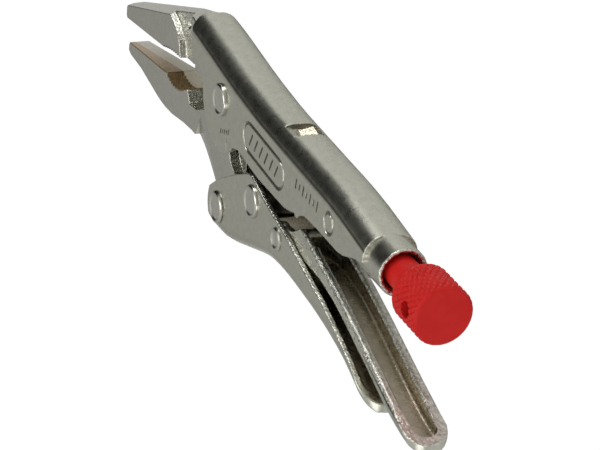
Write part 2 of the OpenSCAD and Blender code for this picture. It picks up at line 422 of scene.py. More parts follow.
def break_edges(
    bm: Mesh,
    width: float,
    segments: int = 2,
    angle: float = 32.0,
    keep: Optional[Callable[[Vector], bool]] = None,
    tidy: bool = False,
) -> None:
    """Rounds the sharp edges of a piece, as tumbling does.

    Args:
        bm: The piece.
        width: Width of the rounding.
        segments: Facets across it.
        angle: Least angle of an edge that is rounded, in degrees.
        keep: Says which places stay sharp.
        tidy: True to close up needle-thin faces first.
    """
    bmesh.ops.dissolve_limit(
        bm, angle_limit=math.radians(0.6), verts=bm.verts, edges=bm.edges, use_dissolve_boundaries=False
    )
    if tidy:
        bmesh.ops.dissolve_degenerate(bm, dist=0.03, edges=bm.edges)
    low = [min(v.co[i] for v in bm.verts) for i in range(3)]
    high = [max(v.co[i] for v in bm.verts) for i in range(3)]
    limit = math.radians(angle)
    sharp = [
        e
        for e in bm.edges
        if len(e.link_faces) == 2
        and e.calc_face_angle(0.0) > limit
        and e.calc_length() > width * SHORTEST_EDGE
        and not (keep and keep(e.verts[0].co) and keep(e.verts[1].co))
    ]
    round_over(bm, sharp, width, segments)
    for v in bm.verts:
        for i in range(3):
            v.co[i] = min(max(v.co[i], low[i]), high[i])


def near_line(points: Sequence[Point], x: float, y: float) -> float:
    """Distance from a place to an open line of points.

    Args:
        points: The line.
        x: Place along the tool.
        y: Height of the place.

    Returns:
        The least distance.
    """
    best = 1e9
    for (ax, ay), (bx, by) in zip(points[:-1], points[1:]):
        dx, dy = bx - ax, by - ay
        u = min(max(((x - ax) * dx + (y - ay) * dy) / (dx * dx + dy * dy), 0.0), 1.0)
        best = min(best, math.hypot(x - ax - u * dx, y - ay - u * dy))
    return best


def dress(obj: bpy.types.Object, finish: bpy.types.Material, test: Callable[[Vector, Vector], bool]) -> None:
    """Gives some of a piece's faces a second material: a second finish in some places, painted shade and
    painted highlights in others.

    Args:
        obj: The piece.
        finish: The second finish.
        test: Takes a face's centre, in millimetres about the middle plane, and its normal.
    """
    obj.data.materials.append(finish)
    index = len(obj.data.materials) - 1
    for face in obj.data.polygons:
        if test(face.center / MM - Vector((0, 0, MID)), face.normal):
            face.material_index = index


def place(
    bm: Mesh,
    name: str,
    body: Body,
    slot: Slot,
    finish: bpy.types.Material,
    node: str,
    angle: float = 34.0,
) -> bpy.types.Object:
    """Turns a finished mesh into a piece on its body.

    Args:
        bm: The mesh in millimetres about the middle plane.
        name: Name of the piece.
        body: Body it rides on.
        slot: Record slot for the piece's finish; not used.
        finish: Its material.
        node: CAD node it stands for.
        angle: Edges sharper than this stay sharp in the shading, in degrees.

    Returns:
        The new object.
    """
    shift(bm, (0, 0, MID))
    bmesh.ops.scale(bm, verts=bm.verts, vec=(MM, MM, MM))
    mesh = bpy.data.meshes.new(name)
    bm.to_mesh(mesh)
    bm.free()
    mesh.materials.append(finish)
    mesh.polygons.foreach_set("use_smooth", [True] * len(mesh.polygons))
    mesh.set_sharp_from_angle(angle=math.radians(angle))
    obj = bpy.data.objects.new(name, mesh)
    bpy.context.scene.collection.objects.link(obj)
    weighted = obj.modifiers.new("even_normals", "WEIGHTED_NORMAL")
    weighted.keep_sharp = True
    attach(obj, body.value)
    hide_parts(node)
    return obj


# ---------------------------------------------------------------- finishes


class NodeBoard:
    """A small helper that wires shader nodes."""

    def __init__(self, tree: bpy.types.NodeTree) -> None:
        """Keeps the tree that nodes are added to."""
        self.tree = tree

    def add(self, kind: str, **values: object) -> bpy.types.Node:
        """Adds a node and sets its inputs or properties.

        Args:
            kind: Blender's name of the node type.
            values: Sockets, with _ for a space, or properties of the node.

        Returns:
            The node.
        """
        node = self.tree.nodes.new(kind)
        for key, value in values.items():
            if hasattr(node, key):
                setattr(node, key, value)
            else:
                node.inputs[key.replace("_", " ")].default_value = value
        return node

    def link(self, source: bpy.types.NodeSocket, target: bpy.types.NodeSocket) -> None:
        """Joins two sockets."""
        self.tree.links.new(source, target)

    def math(self, operation: str, first: object, second: object = 0.0) -> bpy.types.NodeSocket:
        """Adds a math node.

        Args:
            operation: Name of the operation.
            first: Socket or number.
            second: Socket or number.

        Returns:
            The result socket.
        """
        node = self.tree.nodes.new("ShaderNodeMath")
        node.operation = operation
        for i, value in enumerate((first, second)):
            if isinstance(value, bpy.types.NodeSocket):
                self.link(value, node.inputs[i])
            else:
                node.inputs[i].default_value = value
        return node.outputs[0]


def effect_group(name: str, inputs: dict[str, float], outputs: Sequence[str]) -> tuple[
    bpy.types.NodeTree, bpy.types.Node, bpy.types.Node
]:
    """Starts a shader node group with number sockets and object coordinates.

    Args:
        name: Name of the group.
        inputs: Input names with their defaults.
        outputs: Output names.

    Returns:
        The tree, its input node and its output node.
    """
    tree = bpy.data.node_groups.new(name, "ShaderNodeTree")
    for key, value in inputs.items():
        socket = tree.interface.new_socket(name=key, in_out="INPUT", socket_type="NodeSocketFloat")
        socket.default_value = value
    for key in outputs:
        tree.interface.new_socket(name=key, in_out="OUTPUT", socket_type="NodeSocketFloat")
    return tree, tree.nodes.new("NodeGroupInput"), tree.nodes.new("NodeGroupOutput")


def blasted_grain() -> bpy.types.NodeTree:
    """Fine blasted grain under plating: a height and a mottle that vary over the surface."""
    tree, inside, outside = effect_group(
        "blasted_grain", {"Grain Scale": 5200.0, "Mottle Scale": 160.0}, ["Height", "Mottle"]
    )
    board = NodeBoard(tree)
    coords = board.add("ShaderNodeTexCoord")
    grain = board.add("ShaderNodeTexNoise", Detail=3.0, Roughness=0.62)
    mottle = board.add("ShaderNodeTexNoise", Detail=4.0, Roughness=0.6)
    for node, key in ((grain, "Grain Scale"), (mottle, "Mottle Scale")):
        board.link(coords.outputs["Object"], node.inputs["Vector"])
        board.link(inside.outputs[key], node.inputs["Scale"])
    board.link(grain.outputs["Fac"], outside.inputs["Height"])
    board.link(mottle.outputs["Fac"], outside.inputs["Mottle"])
    return tree


@dataclass(frozen=True)
class Surface:
    """A surface that varies between two colours, with a fine grain.

    Colours are linear, grain sizes are in waves per metre and the bump's depth is in metres.
    """

    name: str
    colours: tuple[Colour, Colour]
    stops: Point
    roughness: float
    spread: float
    grain: float
    mottle: float
    bite: float
    depth: float

    def make(self, group: bpy.types.NodeTree, constants: dict[str, float]) -> bpy.types.Material:
        """Builds the material.

        Args:
            group: The shared blasted grain group.
            constants: Shader sockets that keep one value.

        Returns:
            The material.
        """
        material = bpy.data.materials.new(self.name)
        material.use_nodes = True
        board = NodeBoard(material.node_tree)
        shader = material.node_tree.nodes["Principled BSDF"]
        for key, value in constants.items():
            shader.inputs[key].default_value = value
        effect = board.add("ShaderNodeGroup", node_tree=group)
        effect.inputs["Grain Scale"].default_value = self.grain
        effect.inputs["Mottle Scale"].default_value = self.mottle
        ramp = board.add("ShaderNodeValToRGB")
        for stop, place_at, colour in zip(ramp.color_ramp.elements, self.stops, self.colours):
            stop.position = place_at
            stop.color = (*colour, 1)
        board.link(effect.outputs["Mottle"], ramp.inputs["Fac"])
        board.link(ramp.outputs["Color"], shader.inputs["Base Color"])
        rough = board.add("ShaderNodeMapRange", From_Min=0.3, From_Max=0.7)
        rough.inputs["To Min"].default_value = self.roughness - self.spread
        rough.inputs["To Max"].default_value = self.roughness + self.spread
        board.link(effect.outputs["Mottle"], rough.inputs["Value"])
        board.link(rough.outputs["Result"], shader.inputs["Roughness"])
        bump = board.add("ShaderNodeBump", Strength=self.bite, Distance=self.depth)
        board.link(effect.outputs["Height"], bump.inputs["Height"])
        board.link(bump.outputs["Normal"], shader.inputs["Normal"])
        return material


@dataclass(frozen=True)
class MetalFinish:
    """A plated or bare metal finish."""

    name: str
    colour: Colour
    roughness: float
    spread: float
    grain: float
    bite: float
    tint: float = 0.06
    depth: float = 0.00006
    metal: float = 1.0
    mottle: float = 420.0

    def make(self, group: bpy.types.NodeTree) -> bpy.types.Material:
        """Builds the material.

        Args:
            group: The shared blasted grain group.

        Returns:
            The material.
        """
        low = tuple(c * (1 - self.tint) for c in self.colour)
        high = tuple(min(c * (1 + self.tint), 1.0) for c in self.colour)
        surface = Surface(
            self.name, (low, high), (0.3, 0.7), self.roughness, self.spread, self.grain, self.mottle,
            self.bite, self.depth,
        )
        return surface.make(group, {"Metallic": self.metal})


@dataclass(frozen=True)
class CoatFinish:
    """The red coating on the knob, over its knurl."""

    name: str = "red_coating"
    colour: Colour = (0.66, 0.012, 0.010)
    worn: Colour = (0.74, 0.022, 0.018)
    roughness: float = 0.5
    shine: float = 0.22

    def make(self, group: bpy.types.NodeTree) -> bpy.types.Material:
        """Builds the material.

        Args:
            group: The shared blasted grain group.

        Returns:
            The material.
        """
        surface = Surface(
            self.name, (self.colour, self.worn), (0.35, 0.72), self.roughness, 0.06, 3000.0, 220.0,
            0.25, 0.00005,
        )
        return surface.make(group, {"Specular IOR Level": self.shine})


@dataclass
class Finishes:
    """Every material of the tool, built once."""

    nickel: bpy.types.Material
    forging: bpy.types.Material
    rivet: bpy.types.Material
    dark: bpy.types.Material
    zinc: bpy.types.Material
    sheared_and_highlit: bpy.types.Material
    inside: bpy.types.Material
    grip: bpy.types.Material
    groove: bpy.types.Material
    shaded: bpy.types.Material
    painted_dark_reflection: bpy.types.Material
    red: bpy.types.Material

    @classmethod
    def build(cls) -> "Finishes":
        """Builds the shared groups and the materials."""
        grain = blasted_grain()
        metals = {
            "nickel": MetalFinish("satin_nickel", (0.62, 0.625, 0.54), 0.28, 0.02, 2600.0, 0.45),
            "forging": MetalFinish("ground_forging", (0.60, 0.60, 0.53), 0.26, 0.03, 2600.0, 0.4),
            "rivet": MetalFinish("rivet_nickel", (0.66, 0.65, 0.59), 0.22, 0.04, 3600.0, 0.15),
            # dark oiled steel for the link and spring; also painted shade in the tongue's valley
            "dark": MetalFinish("oiled_steel_and_painted_shade", (0.20, 0.19, 0.175), 0.38, 0.06, 3200.0, 0.3),
            "zinc": MetalFinish("screw_zinc", (0.55, 0.53, 0.48), 0.3, 0.05, 3600.0, 0.3),
            # a brighter, smoother finish: sheared metal on cut edges, and a painted highlight on rounded
            # rims, edges and the tongue's near flap
            "sheared_and_highlit": MetalFinish(
                "sheared_rim_and_painted_highlight", (0.76, 0.73, 0.63), 0.2, 0.06, 1300.0, 1.0, 0.45, 0.0003, mottle=1100.0
            ),
            # a rougher grain, and a darker, browner colour that is painted shade inside channels, the notch,
            # the collar's mouth and the tongue
            "inside": MetalFinish(
                "channel_inside_painted_shade", (0.56, 0.50, 0.39), 0.26, 0.06, 1900.0, 0.9, 0.14, 0.0001
            ),
            # painted reflection: a brown tint for the dark fixed jaw mirrored in the near half of the moving
            # grip
            "painted_dark_reflection": MetalFinish(
                "grip_painted_dark_reflection", (0.50, 0.36, 0.20), 0.24, 0.05, 2200.0, 0.4, 0.16, metal=0.8
            ),
            "shaded": MetalFinish("shaded_serration", (0.34, 0.27, 0.18), 0.3, 0.05, 2600.0, 0.3),
            # painted reflection: a near-white colour for the bright light mirrored in the moving grip
            "grip": MetalFinish("grip_painted_bright_reflection", (0.96, 0.91, 0.77), 0.2, 0.03, 2600.0, 0.1, metal=0.2),
            # painted shade: near black for the floors of the pressed marks
            "groove": MetalFinish("pressed_groove_painted_shade", (0.16, 0.155, 0.13), 0.4, 0.05, 3000.0, 0.4),
        }
        made = {key: metal.make(grain) for key, metal in metals.items()}
        return cls(**made, red=CoatFinish().make(grain))


# ---------------------------------------------------------------- sub-assemblies


@dataclass
class UpperHandle:
    """The pressed upper channel with its nut collar and spring notch."""

    half: float = 7.7
    sheet: float = 1.8
    roll: float = 6.0
    lobe: float = 15.3
    collar_r: float = 6.8
    collar_end: float = 113.0
    mouth_r: float = 5.55
    notch: Point = (40.0, 47.4)
    notch_half: float = 4.2
    thread_pitch: float = 1.5
    crown: tuple[Point, ...] = (
        (-50, 17.4), (-33, 15.9), (-20, 14.8), (-8, 13.2), (4, 11.6), (14, 10.5), (25, 9.6), (36, 9.0),
        (50, 8.6), (64, 8.3), (78, 7.8), (88, 7.0), (97, 5.9), (110, 4.3),
    )

    def outline(self) -> list[Point]:
        """Side outline of the cheeks and the back."""
        return (
            [(110, -2.4), (110, 12), (60, 14), (-20, 22), (-29.4, 22), (-28.6, 14.6)]
            + [(-28, 11.8), (-26.4, 10.2), (-25.4, 4.2), (-24.2, 3.2), (-19.8, 3.6), (-16.6, 1.6)]
            + arc((0, 0), self.lobe, 183, 318, 30)
            + [(15.6, -9.2), (20, -9.6), (26, -10.4), (32, -10.8), (51, -10.7), (56, -9.8), (58.2, -9.1)]
            + arc((60.0, -8.2), 1.5, 215, 345, 8)
            + [(65.5, -6.9), (76, -6.5), (88, -6.6), (92, -6.0), (96, -4.6), (100, -3.2), (104, -2.4)]
        )

    def shell(self) -> Mesh:
        """The folded channel, trimmed to its outline, with the notch lanced through."""
        line = smooth_line(self.crown)
        outer = crowned_block(line, (-46, 104.2), -30, self.half, self.roll)
        inner = crowned_block(
            lambda x: line(x) - self.sheet, (-48, 106), -31, self.half - self.sheet, self.roll - self.sheet
        )
        bm = trim(cut(outer, inner), slab(self.outline(), -12, 12))
        x0, x1 = self.notch
        notch = slab([(x0, 2), (x1, 2), (x1, 14), (x0, 14)], -self.notch_half, self.notch_half)
        return cut(bm, notch, *CheekMarks().cutters(self.half), pin_tool(MAIN, 3.0))

    def collar(self) -> Mesh:
        """The nut collar that the screw runs in: a threaded mouth with a rough, rolled lip."""
        end, r, mouth = self.collar_end, self.collar_r, self.mouth_r
        profile: list[Point] = [(84, 4.2), (84, 6.7), (103.2, 6.95), (104.2, 6.9), (105.2, r), (end - 0.7, r)]
        profile += [(end - 0.25, r - 0.12), (end, r - 0.45), (end, mouth + 0.55), (end - 0.2, mouth + 0.2)]
        x = end - 0.7
        while x > 104.6:
            profile += [(x, mouth), (x - 0.55, mouth - 0.42), (x - 0.75, mouth - 0.42), (x - 1.3, mouth)]
            x -= self.thread_pitch
        profile += [(103.4, mouth - 0.3), (103.0, 4.2)]
        bm = revolve(profile, 110, closed=True)
        for v in bm.verts:
            if v.co.x > end - 0.6:
                at = math.atan2(v.co.z, v.co.y)
                wave = math.sin(9 * at + 1.0) * math.sin(5.3 * at) + 0.6 * math.sin(23 * at + 2.0)
                v.co.x -= 0.12 * (1 + wave)
                v.co.y *= 1 + 0.006 * math.sin(31 * at)
                v.co.z *= 1 + 0.006 * math.sin(31 * at)
        shift(bm, (0, SCREW_Y, 0))
        bmesh.ops.recalc_face_normals(bm, faces=bm.faces)
        return bm

    def tongue(self) -> Mesh:
        """The tongue pressed in below the notch: two flaps that fall to a valley in the middle."""
        bm = bmesh.new()
        bmesh.ops.create_cube(bm, size=1)
        bmesh.ops.scale(bm, verts=bm.verts, vec=(6.6, 1.2, 8.2))
        shift(bm, (43.4, 7.3, 0))
        for z in (-0.7, 0.7):
            slice_at(bm, (0, 0, z), (0, 0, 1))
        for v in bm.verts:
            rear = (v.co.x - 40.1) / 6.6
            v.co.y -= 0.1 + 1.2 * rear + (0.5 + 1.6 * rear) * (abs(v.co.z) < 1)
        break_edges(bm, 0.25, 3, 20)
        return bm

    def build(self, finishes: Finishes) -> list[bpy.types.Object]:
        """Builds and dresses the handle.

        Args:
            finishes: The tool's materials.

        Returns:
            The pieces.
        """
        shell = self.shell()
        break_edges(shell, 0.28, 3)
        channel = place(shell, "upper_channel", Body.UPPER, Slot.PLATED, finishes.nickel, "upper_handle")
        (x0, x1), floor = self.notch, self.half - CheekMarks().depth
        # painted shade: the floors of the pressed marks are near black
        dress(channel, finishes.groove, lambda co, n: n.z > 0.9 and abs(co.z - floor) < 0.08)
        # painted highlight on the channel's front end and along the lobe's rounded edge
        dress(channel, finishes.sheared_and_highlit, lambda co, n: co.x > 103.9 and n.x > 0.5)
        lobe = arc((0, 0), self.lobe, 183, 318, 30)
        dress(channel, finishes.sheared_and_highlit, lambda co, n: abs(n.z) < 0.97 and near_line(lobe, co.x, co.y) < 0.45)
        # painted shade on the notch walls
        dress(channel, finishes.inside, lambda co, n: x0 < co.x < x1 + 0.1 and abs(n.x) > 0.7 and co.y > 0)
        collar = place(
            self.collar(), "nut_collar", Body.UPPER, Slot.PLATED, finishes.nickel, "upper_handle", 25
        )
        end = self.collar_end
        # the collar's lip gets the bright sheared finish, partly a painted highlight
        dress(collar, finishes.sheared_and_highlit, lambda co, n: co.x > end - 0.5)
        # painted shade inside the threaded mouth
        dress(
            collar, finishes.inside,
            lambda co, n: co.x < end - 0.5 and math.hypot(co.y - SCREW_Y, co.z) < self.mouth_r + 0.15,
        )
        # painted shade: the tongue is brown all over, with its near flap and valley dressed below
        tongue = place(
            self.tongue(), "spring_tongue", Body.UPPER, Slot.PLATED, finishes.inside, "upper_handle"
        )
        # painted highlight: the near flap of the tongue is made bright for the floor mirrored in it
        dress(tongue, finishes.sheared_and_highlit, lambda co, n: co.z > 1.6)
        # painted shade in the valley of the tongue
        dress(tongue, finishes.dark, lambda co, n: -1 < co.z < 0.9 and co.x > 44)
        return [channel, collar, tongue, self.weld(finishes)]

    def weld(self, finishes: Finishes) -> bpy.types.Object:
        """The rough weld bead where the fixed jaw meets the front of the crown.

        Args:
            finishes: The tool's materials.

        Returns:
            The bead.
        """
        bm = bmesh.new()
        bmesh.ops.create_uvsphere(bm, u_segments=40, v_segments=18, radius=1)
        for v in bm.verts:
            a, b, c = v.co
            lump = 1 + 0.10 * math.sin(7 * c + 2 * a) * math.cos(5 * a + 3 * c)
            lump += 0.05 * math.sin(17 * c + 9 * b)
            v.co = Vector((-30.6 + 2.3 * a * lump, 13.3 + 1.35 * b * lump, 4.3 * c))
        return place(bm, "weld_bead", Body.UPPER, Slot.PLATED, finishes.sheared_and_highlit, "upper_handle", 60)


@dataclass
class CheekMarks:
    """Plain pressed marks on the upper cheek: a rounded frame, bars and a ring."""

    depth: float = 0.3
    line: float = 0.75

    def stadium(self, centre: Point, length: float, width: float, turn: float) -> list[Point]:
        """Outline of a bar with round ends.

        Args:
            centre: Middle of the bar.
            length: Overall length.
            width: Overall width.
            turn: Angle in degrees.

        Returns:
            Its outline.
        """
        r = width / 2
        half = length / 2 - r
        shape = arc((half, 0), r, -90, 90, 8) + arc((-half, 0), r, 90, 270, 8)
        c, s = math.cos(math.radians(turn)), math.sin(math.radians(turn))
        return [(centre[0] + x * c - y * s, centre[1] + x * s + y * c) for x, y in shape]

    def frame_of(self, outline: Callable[[float], list[Point]], half: float) -> Mesh:
        """A groove that follows an outline.

        Args:
            outline: Gives the outline grown by an amount.
            half: Half width of the handle.

        Returns:
            The cutter.
        """
        ring = slab(outline(self.line / 2), half - self.depth, half + 1)
        return cut(ring, slab(outline(-self.line / 2), half - self.depth - 1, half + 2))

    def cutters(self, half: float) -> list[Mesh]:
        """The cutters for the left cheek.

        Args:
            half: Half width of the handle.

        Returns:
            Closed cutters.
        """
        low, high = half - self.depth, half + 1
        cuts = [self.frame_of(lambda g: self.stadium((34.2, -2.6), 31 + 2 * g, 8.4 + 2 * g, -3.0), half)]
        bars = [((24.6 + 3.9 * i, -2.1 - 0.2 * i), 4.6, 0.85, 62) for i in range(6)]
        cuts += [slab(self.stadium(*bar), low, high) for bar in bars]
        cuts.append(self.frame_of(lambda g: arc((81.4, -1.6), 2.9 + g, 0, 350, 35), half))
        bars = [((58.4 + 2.5 * i, -0.5), 3.4 - 1.2 * (i % 2), 0.7, 80) for i in range(7)]
        bars += [((1.4 + 1.5 * i, -9.0 + 0.5 * i), 1.9 - 0.5 * (i % 2), 0.6, 75) for i in range(5)]
        cuts += [slab(self.stadium(*bar), low, high) for bar in bars]
        return cuts


@dataclass
class JawForm:
    """What the two forged jaws share: the taper in plan and the serrated recess."""

    tip_half: float = 3.2
    root_half: float = 5.2
    pitch: float = 1.6
    tooth: float = 0.85
    waist: float = -56.0

    def half_at(self, x: float, tip: float, tang: float, root: float) -> float:
        """Half width of a jaw along its length.

        Args:
            x: Place along the tool.
            tip: Where the tip is.
            tang: Half width of the tang.
            root: Where the nose starts to widen to the tang.

        Returns:
            The half width.
        """
        if x < self.waist:
            u = (x - tip) / (self.waist - tip)
            return self.tip_half + (self.root_half - self.tip_half) * max(u, 0.0)
        u = min(max((x - root) / 6, 0.0), 1.0)
        return self.root_half + (tang - self.root_half) * u

    def serrations(self, x0: float, x1: float, y0: float, y1: float, bow: float, side: float) -> list[Point]:
        """Saw line of the hollow behind the grip face.

        Args:
            x0: Front end.
            x1: Rear end.
            y0: Height at the front end.
            y1: Height at the rear end.
            bow: How deep the hollow is.
            side: 1 where the hollow rises, -1 where it dips.

        Returns:
            The points.
        """
        count = int((x1 - x0) / self.pitch) * 2
        points = []
        for i in range(count + 1):
            u = i / count
            lift = bow * 4 * u * (1 - u) + (i % 2) * self.tooth
            points.append((x0 + (x1 - x0) * u, y0 + (y1 - y0) * u + side * lift))
        return points

    def taper(self, bm: Mesh, tip: float, tang: float, root: float) -> None:
        """Narrows a plate of full width to the jaw's plan.

        Args:
            bm: The plate, one millimetre to each side of the middle plane.
            tip: Where the tip is.
            tang: Half width of the tang.
            root: Where the nose starts to widen to the tang.
        """
        for x in (tip + 12, tip + 25, self.waist, root, root + 2, root + 4, root + 6):
            slice_at(bm, (x, 0, 0), (1, 0, 0))
        for v in bm.verts:
            v.co.z *= self.half_at(v.co.x, tip, tang, root)


def wedge(corner: Vector, normal: Vector, along: Vector, size: Vector) -> Mesh:
    """A block that takes away one side of a plane.

    Args:
        corner: A point on the plane, at the middle of the block's face.
        normal: Which way the block lies.
        along: A direction in the plane.
        size: The block's size along, beside and off the plane.

    Returns:
        The closed block.
    """
    n = normal.normalized()
    a = (along - n * along.dot(n)).normalized()
    b = n.cross(a)
    bm = bmesh.new()
    bmesh.ops.create_cube(bm, size=1)
    shift(bm, (0, 0, 0.5))
    bmesh.ops.scale(bm, verts=bm.verts, vec=size)
    bmesh.ops.rotate(bm, verts=bm.verts, cent=(0, 0, 0), matrix=Matrix((a, b, n)).transposed())
    shift(bm, corner)
    bmesh.ops.recalc_face_normals(bm, faces=bm.faces)
    return bm


@dataclass
class FixedJaw:
    """The upper jaw, welded into the front of the upper channel."""

    tip: float = -98.0
    tang: float = 5.85
    form: JawForm = field(default_factory=JawForm)

    def grip(self, x: float) -> float:
        """Height of the flat grip face."""
        return -11.6 + 0.141 * (x + 97.5)

    def outline(self) -> list[Point]:
        """Side outline."""
        return (
            [(self.tip, -8.0), (self.tip, -10.7), (self.tip + 0.9, -11.6), (-57.6, self.grip(-57.6))]
            + self.form.serrations(-57, -43, self.grip(-57), -3.8, 0.5, 1)
            + [(-40, -3.6), (-36, -3.4), (-32, -2.5), (-28, -1.8), (-20, -2.2), (-12, -3.2)]
            + arc((0, 0), 10.2, 196, 124, 12)
            + [(-4.8, 9.4), (-8, 10.0), (-30, 12.7), (-38.4, 13.2), (-52, 9.2)]
            + [(-61, 6.5), (-78, 0.8), (-92, -4.5), (-96.8, -6.6)]
        )

    def build(self, finishes: Finishes) -> list[bpy.types.Object]:
        """Builds and dresses the jaw.

        Args:
            finishes: The tool's materials.

        Returns:
            The pieces.
        """
        bm = slab(self.outline(), -1, 1)
        self.form.taper(bm, self.tip, self.tang, -34)
        for side in (-1, 1):
            a = Vector((-87, -4.2, side * 3.7))
            b = Vector((-57, 5.0, side * 5.2))
            c = Vector((-57, 6.3, side * 2.0))
            normal = (b - a).cross(c - a) * side
            bm = cut(bm, wedge((a + b) / 2, normal, b - a, Vector((110, 16, 8))))
            edge = [(-54.6, 7.0), (-52.6, 6.0), (-49.0, 4.6), (-46.2, 2.6), (-43.9, 0.2), (-42.2, -4.4)]
            pocket = slab(edge + [(-27.5, -4.6), (-27.5, 12.0), (-40, 12.4)], 0, 1)
            for v in pocket.verts:
                if v.co.z < 0.5 and v.co.x < -41:
                    v.co.x += 0.8
                v.co.z = side * (3.1 if v.co.z < 0.5 else 8.0)
            bmesh.ops.recalc_face_normals(pocket, faces=pocket.faces)
            bm = cut(bm, pocket)
        dimple = bmesh.new()
        bmesh.ops.create_uvsphere(dimple, u_segments=24, v_segments=12, radius=1.3)
        shift(dimple, (-41.2, 7.2, 3.5))
        bm = cut(bm, dimple)
        break_edges(bm, 0.28, 3, 26, lambda co: -57.3 < co.x < -42.5 and co.y < -1)
        nose = place(bm, "fixed_nose", Body.UPPER, Slot.FORGED, finishes.forging, "fixed_jaw", 30)
        dress(nose, finishes.shaded, lambda co, n: n.y < -0.4 and co.x < -43)
        # painted highlight on the rear-facing facets of the near side
        dress(nose, finishes.sheared_and_highlit, lambda co, n: co.x > -56 and n.x > 0.35 and co.z > 2.5 and co.x < -36)
        return [nose]


@dataclass
class MovingJaw:
    """The lower jaw with its tang down to the lower handle."""

    tip: float = -94.4
    tang: float = 5.55
    form: JawForm = field(default_factory=JawForm)

    def grip(self, x: float) -> float:
        """Height of the flat grip face."""
        return -18.4 + 0.138 * (x + 95)

    def outline(self) -> list[Point]:
        """Side outline."""
        return (
            [(self.tip + 0.5, -21.3), (self.tip + 0.5, -19.4), (self.tip + 1.3, -18.3)]
            + [(-52.6, self.grip(-52.6))]
            + self.form.serrations(-52, -35, self.grip(-52) - 0.3, -10.9, 2.0, -1)
            + [(-34.2, -11), (-31.6, -14.2), (-25, -13.6), (-18, -10.4)]
            + arc((0, 0), 9.8, 222, -38, 32)
            + [(10.2, -9.5), (9.8, -13), (10.2, -18), (10.8, -24), (11.0, -29)]
            + arc((JAW_PIN.x, JAW_PIN.y), 7.6, 10, -150, 22)
            + [(-7.2, -32.0), (-10.0, -29.1), (-13.0, -26.5), (-16.0, -24.5), (-19.4, -22.8), (-24, -21.7)]
            + [(-28.4, -21.6), (-36, -22.2), (-46, -23.6), (-52, -23.8), (-61, -23.4), (-79, -21.9)]
            + [(-91.4, -22.0)]
        )

    def build(self, finishes: Finishes) -> list[bpy.types.Object]:
        """Builds and dresses the jaw.

        Args:
            finishes: The tool's materials.

        Returns:
            The pieces.
        """
        bm = slab(self.outline(), -1, 1)
        self.form.taper(bm, self.tip, self.tang, -26)
        for side in (-1, 1):
            a = Vector((-18.5, -15.7, side * self.tang))
            b = Vector((-2.9, -25.0, side * self.tang))
            c = Vector((-14.6, -26.8, side * (self.tang - 1.7)))
            normal = (b - a).cross(c - a) * -side
            bm = cut(bm, wedge((a + b) / 2, normal, b - a, Vector((24, 30, 6))))
            boss = lathe([(2.6, 10.6), (7.0, 10.6), (7.0, 6.0), (5.6, 7.2), (2.6, 10.6)], "Z", (0, 0, 0), 72)
            if side < 0:
                turn(boss, math.pi, "Y")
            boss = trim(boss, slab([(-12, 1.5), (12, 1.5), (12, 13), (-12, 13)], -9, 9))
            web = [(13, -9), (4.6, -10), (3.4, -14.3), (5.4, -17.4), (8.5, -19.4), (13, -20.4)]
            low, high = (2.5, 9.0) if side > 0 else (-9.0, -2.5)
            bm = cut(bm, boss, slab(web, low, high))
        track = arc((0, 0), 15.85, -73.5, -58.6, 8) + arc((0, 0), 13.35, -58.6, -73.5, 8)
        slot = [(2.6, -12.2), (6.0, -10.9), (9.0, -8.6), (14, -7), (14, -15), (8.5, -14.9)]
        slot += [(4.2, -15.8), (2.6, -15.3)]
        bm = cut(bm, slab(track, -9, 9), slab(slot, -0.95, 0.95))
        break_edges(bm, 0.28, 3, 26, lambda co: -52.3 < co.x < -34.5 and co.y > -16.4)
        # splits the grip along its length where the two painted reflections meet
        slice_at(bm, (-94, 0, 1.4), (0.04, 0, 1))
        nose = place(bm, "moving_nose", Body.JAW, Slot.FORGED, finishes.forging, "moving_jaw", 30)
        rear = -34.6
        # painted reflection: the grip faces get a near-white colour for the bright light mirrored in them
        dress(nose, finishes.grip, lambda co, n: abs(n.z) < 0.5 and n.y > 0.2 and co.x < rear)
        # painted reflection: the near half of the grip turns brown for the dark fixed jaw mirrored in it
        dress(
            nose, finishes.painted_dark_reflection,
            lambda co, n: n.y > 0.2 and co.x < rear and co.z > 1.35 - 0.04 * (co.x + 94),
        )
        # painted highlight on the rear end of the grip
        dress(nose, finishes.sheared_and_highlit, lambda co, n: rear < co.x < -31 and n.x > 0.6)
        border = [(-18.5, -15.7), (-10.6, -20.3), (-2.9, -25.0)]
        # painted highlight along the rounded edge of the tang's bevel
        dress(nose, finishes.sheared_and_highlit, lambda co, n: abs(co.z) > 4.7 and near_line(border, co.x, co.y) < 0.7)
        web = [(4.6, -10), (3.4, -14.3), (5.4, -17.4), (8.5, -19.4)]
        # painted highlight on the web's rounded edges
        dress(
            nose, finishes.sheared_and_highlit,
            lambda co, n: abs(n.z) < 0.95 and co.x > 3 and near_line(web, co.x, co.y) < 0.6,
        )
        return [nose]


def round_plan(x0: float, x1: float, half: float) -> list[Point]:
    """Plan outline of a channel with a round rear end.

    Args:
        x0: Front end.
        x1: Rear end.
        half: Half width.

    Returns:
        The outline.
    """
    x = x1 - half
    front = [(x0, half + 3), (x0, -half - 3), (x, -half - 3)]
    return front + arc((x, 0), half, -90, 90, 32) + [(x, half + 3)]


def inside_channel(co: Vector, normal: Vector, wall: float, rear: float) -> bool:
    """Says whether a face is on the inner side of a channel with a round end.

    Args:
        co: Centre of the face.
        normal: Its normal.
        wall: Half width between the cheeks.
        rear: Rear end of the hollow.

    Returns:
        True on the inner side.
    """
    x = co.x - (rear - wall)
    reach = abs(co.z) if x < 0 else math.hypot(x, co.z)
    return reach < wall + 0.08 and (normal.y > 0.15 or reach > wall - 0.3)


